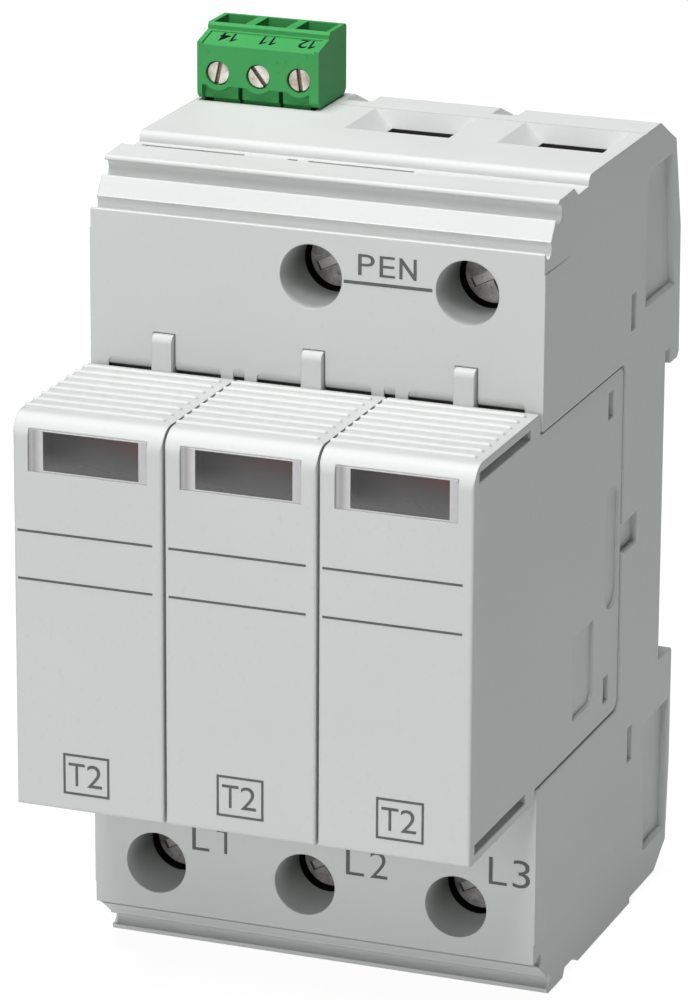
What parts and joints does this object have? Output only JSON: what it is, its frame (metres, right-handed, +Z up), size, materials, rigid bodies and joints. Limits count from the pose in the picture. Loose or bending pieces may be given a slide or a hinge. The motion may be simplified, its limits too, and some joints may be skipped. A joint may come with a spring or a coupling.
{
  "type": "surge arrester",
  "caption": "Boxy three-pole surge arrester for a 35 mm rail: base with screw terminals in wells, pull-out ribbed modules with status windows, and a small plug-in signal connector.",
  "frame": {"origin": "middle of the rail, on the plane of its front face", "axes": "+X along the rail to the right, +Y from the front towards the rail, +Z up"},
  "size_m": [0.0534, 0.0706, 0.1017],
  "materials": {
    "housing_grey": "light grey moulded thermoplastic with a fine matt grain",
    "rear_grey": "light grey moulded thermoplastic, slightly darker than the front",
    "window_clear": "clear moulded plastic with milky edges",
    "flag_grey": "dark grey moulded plastic",
    "varistor_coat": "dipped epoxy coat",
    "contact_metal": "tinned spring brass",
    "screw_steel": "zinc-plated steel",
    "cage_steel": "zinc-plated pressed steel",
    "busbar_copper": "stamped copper strip",
    "connector_green": "green moulded polyamide",
    "signal_screw_nickel": "nickel-plated steel",
    "header_dark_green": "green moulded polyamide",
    "switch_black": "black moulded plastic"
  },
  "bodies": {
    "base": {"front_housing": "housing_grey", "rear_housing": "rear_grey", "pen_busbar": "busbar_copper", "line_bar_1": "busbar_copper", "line_bar_2": "busbar_copper", "line_bar_3": "busbar_copper", "pen_clips": "contact_metal", "line_clips": "contact_metal", "signal_header": "header_dark_green", "signal_pins": "contact_metal", "signal_switch": "switch_black"},
    "plug_1": {"plug_1_housing": "housing_grey", "plug_1_base": "rear_grey", "plug_1_window": "window_clear", "plug_1_varistor": "varistor_coat", "plug_1_blades": "contact_metal"},
    "flag_1": {"plug_1_flag": "flag_grey"},
    "plug_2": {"plug_2_housing": "housing_grey", "plug_2_base": "rear_grey", "plug_2_window": "window_clear", "plug_2_varistor": "varistor_coat", "plug_2_blades": "contact_metal"},
    "flag_2": {"plug_2_flag": "flag_grey"},
    "plug_3": {"plug_3_housing": "housing_grey", "plug_3_base": "rear_grey", "plug_3_window": "window_clear", "plug_3_varistor": "varistor_coat", "plug_3_blades": "contact_metal"},
    "flag_3": {"plug_3_flag": "flag_grey"},
    "pen_screw_1": {"pen_screw_1": "screw_steel"},
    "pen_cage_1": {"pen_cage_1": "cage_steel"},
    "pen_screw_2": {"pen_screw_2": "screw_steel"},
    "pen_cage_2": {"pen_cage_2": "cage_steel"},
    "line_screw_1": {"line_screw_1": "screw_steel"},
    "line_cage_1": {"line_cage_1": "cage_steel"},
    "line_screw_2": {"line_screw_2": "screw_steel"},
    "line_cage_2": {"line_cage_2": "cage_steel"},
    "line_screw_3": {"line_screw_3": "screw_steel"},
    "line_cage_3": {"line_cage_3": "cage_steel"},
    "connector": {"signal_connector": "connector_green", "signal_contacts": "contact_metal"},
    "signal_screw_1": {"signal_screw_1": "signal_screw_nickel"},
    "signal_cage_1": {"signal_cage_1": "cage_steel"},
    "signal_screw_2": {"signal_screw_2": "signal_screw_nickel"},
    "signal_cage_2": {"signal_cage_2": "cage_steel"},
    "signal_screw_3": {"signal_screw_3": "signal_screw_nickel"},
    "signal_cage_3": {"signal_cage_3": "cage_steel"},
    "rail_foot": {"rail_foot": "rear_grey"},
    "slider": {"signal_slider": "rear_grey"}
  },
  "joints": [
    {"name": "plug_1_pull", "type": "slide", "parent": "base", "child": "plug_1", "axis": [0, -1, 0], "range_m": [0, 0.045]},
    {"name": "flag_1_drop", "type": "slide", "parent": "plug_1", "child": "flag_1", "axis": [0, 0, -1], "range_m": [0, 0.006]},
    {"name": "plug_2_pull", "type": "slide", "parent": "base", "child": "plug_2", "axis": [0, -1, 0], "range_m": [0, 0.045]},
    {"name": "flag_2_drop", "type": "slide", "parent": "plug_2", "child": "flag_2", "axis": [0, 0, -1], "range_m": [0, 0.006]},
    {"name": "plug_3_pull", "type": "slide", "parent": "base", "child": "plug_3", "axis": [0, -1, 0], "range_m": [0, 0.045]},
    {"name": "flag_3_drop", "type": "slide", "parent": "plug_3", "child": "flag_3", "axis": [0, 0, -1], "range_m": [0, 0.006]},
    {"name": "pen_screw_1_turn", "type": "hinge", "parent": "base", "child": "pen_screw_1", "pos_m": [-0.0004, -0.035, 0.0354], "axis": [0, 1, 0], "range_deg": [0, 1801]},
    {"name": "pen_cage_1_lift", "type": "slide", "parent": "base", "child": "pen_cage_1", "axis": [0, -1, 0], "range_m": [0, 0.004]},
    {"name": "pen_screw_2_turn", "type": "hinge", "parent": "base", "child": "pen_screw_2", "pos_m": [0.0178, -0.035, 0.0354], "axis": [0, 1, 0], "range_deg": [0, 1801]},
    {"name": "pen_cage_2_lift", "type": "slide", "parent": "base", "child": "pen_cage_2", "axis": [0, -1, 0], "range_m": [0, 0.004]},
    {"name": "line_screw_1_turn", "type": "hinge", "parent": "base", "child": "line_screw_1", "pos_m": [-0.0191, -0.035, -0.0361], "axis": [0, 1, 0], "range_deg": [0, 1801]},
    {"name": "line_cage_1_lift", "type": "slide", "parent": "base", "child": "line_cage_1", "axis": [0, -1, 0], "range_m": [0, 0.004]},
    {"name": "line_screw_2_turn", "type": "hinge", "parent": "base", "child": "line_screw_2", "pos_m": [-0.0009, -0.035, -0.0361], "axis": [0, 1, 0], "range_deg": [0, 1801]},
    {"name": "line_cage_2_lift", "type": "slide", "parent": "base", "child": "line_cage_2", "axis": [0, -1, 0], "range_m": [0, 0.004]},
    {"name": "line_screw_3_turn", "type": "hinge", "parent": "base", "child": "line_screw_3", "pos_m": [0.0173, -0.035, -0.0361], "axis": [0, 1, 0], "range_deg": [0, 1801]},
    {"name": "line_cage_3_lift", "type": "slide", "parent": "base", "child": "line_cage_3", "axis": [0, -1, 0], "range_m": [0, 0.004]},
    {"name": "connector_pull", "type": "slide", "parent": "base", "child": "connector", "axis": [0, 0, 1], "range_m": [0, 0.012]},
    {"name": "signal_screw_1_turn", "type": "hinge", "parent": "connector", "child": "signal_screw_1", "pos_m": [-0.0238, -0.012, 0.04935], "axis": [0, 1, 0], "range_deg": [0, 901]},
    {"name": "signal_cage_1_lift", "type": "slide", "parent": "connector", "child": "signal_cage_1", "axis": [0, -1, 0], "range_m": [0, 0.00125]},
    {"name": "signal_screw_2_turn", "type": "hinge", "parent": "connector", "child": "signal_screw_2", "pos_m": [-0.0188, -0.012, 0.04935], "axis": [0, 1, 0], "range_deg": [0, 901]},
    {"name": "signal_cage_2_lift", "type": "slide", "parent": "connector", "child": "signal_cage_2", "axis": [0, -1, 0], "range_m": [0, 0.00125]},
    {"name": "signal_screw_3_turn", "type": "hinge", "parent": "connector", "child": "signal_screw_3", "pos_m": [-0.0138, -0.012, 0.04935], "axis": [0, 1, 0], "range_deg": [0, 901]},
    {"name": "signal_cage_3_lift", "type": "slide", "parent": "connector", "child": "signal_cage_3", "axis": [0, -1, 0], "range_m": [0, 0.00125]},
    {"name": "rail_foot_slide", "type": "slide", "parent": "base", "child": "rail_foot", "axis": [0, 0, -1], "range_m": [0, 0.003], "stiffness_N_per_m": 1500, "springref_m": -0.002},
    {"name": "slider_feel", "type": "slide", "parent": "base", "child": "slider", "axis": [0, -1, 0], "range_m": [0, 0.0025]}
  ],
  "couplings": [
    {"joint": "pen_screw_1_turn", "follows": "pen_cage_1_lift", "rad_per_m": 7854},
    {"joint": "pen_screw_2_turn", "follows": "pen_cage_2_lift", "rad_per_m": 7854},
    {"joint": "line_screw_1_turn", "follows": "line_cage_1_lift", "rad_per_m": 7854},
    {"joint": "line_screw_2_turn", "follows": "line_cage_2_lift", "rad_per_m": 7854},
    {"joint": "line_screw_3_turn", "follows": "line_cage_3_lift", "rad_per_m": 7854},
    {"joint": "signal_screw_1_turn", "follows": "signal_cage_1_lift", "rad_per_m": 12566},
    {"joint": "signal_screw_2_turn", "follows": "signal_cage_2_lift", "rad_per_m": 12566},
    {"joint": "signal_screw_3_turn", "follows": "signal_cage_3_lift", "rad_per_m": 12566}
  ]
}
